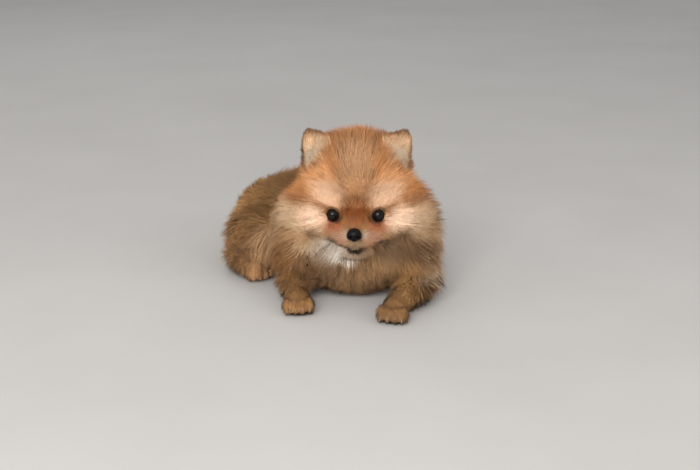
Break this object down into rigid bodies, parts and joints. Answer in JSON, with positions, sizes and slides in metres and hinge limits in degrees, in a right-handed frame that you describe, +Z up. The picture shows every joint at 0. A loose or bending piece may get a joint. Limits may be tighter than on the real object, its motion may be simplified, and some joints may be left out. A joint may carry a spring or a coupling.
{
  "type": "pomeranian puppy",
  "caption": "Life-size still model of a fluffy young pomeranian lying on its belly with its forelegs stretched out and its head turned to its right.",
  "frame": {"origin": "centre of the bounding box's base, on the floor that the puppy lies on", "axes": "+X to the puppy's left, -Y the way its body points (rump at +Y), +Z up; the head is turned about 46 degrees from -Y towards -X"},
  "size_m": [0.1626, 0.2408, 0.1338],
  "materials": {
    "coat_orange": "soft double coat, orange-brown with darker tips",
    "coat_cream": "soft double coat, cream to pale fawn",
    "coat_sable": "soft double coat, golden sable with dark guard hairs",
    "eye_brown": "wet gloss, very dark brown",
    "nose_black": "damp black nose leather"
  },
  "bodies": {
    "root": {"head": "coat_orange", "lower_jaw": "coat_cream", "nose": "nose_black", "eye_left": "eye_brown", "eye_right": "eye_brown", "ear_left": "coat_cream", "ear_right": "coat_cream", "neck": "coat_cream", "trunk": "coat_sable", "tail": "coat_orange", "foreleg_left": "coat_sable", "foreleg_right": "coat_sable", "forepaw_left": "coat_sable", "forepaw_right": "coat_sable", "hindleg_left": "coat_sable", "hindleg_right": "coat_sable", "hindpaw_left": "coat_sable", "hindpaw_right": "coat_sable"}
  },
  "joints": []
}
